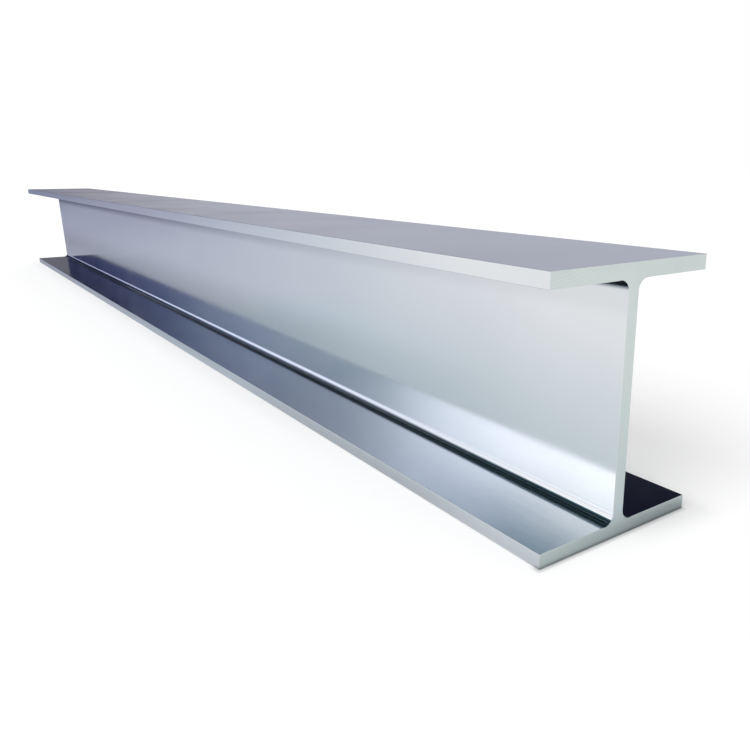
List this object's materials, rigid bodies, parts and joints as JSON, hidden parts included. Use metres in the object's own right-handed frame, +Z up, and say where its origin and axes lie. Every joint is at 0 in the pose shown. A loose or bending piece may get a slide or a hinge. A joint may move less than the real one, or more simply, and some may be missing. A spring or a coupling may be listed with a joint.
{
  "type": "steel H-beam",
  "caption": "Length of hot-rolled steel H-beam, 194 by 150 mm in section, with root fillets and square sawn ends, lying on its lower flange.",
  "frame": {"origin": "middle of the underside of the lower flange, half way along the beam", "axes": "+X along the beam towards one sawn end, +Y across the flanges, +Z up through the web from the lower flange to the upper"},
  "size_m": [2, 0.15, 0.194],
  "materials": {
    "steel": "satin"
  },
  "bodies": {
    "root": {"steel_beam": "steel"}
  },
  "joints": []
}
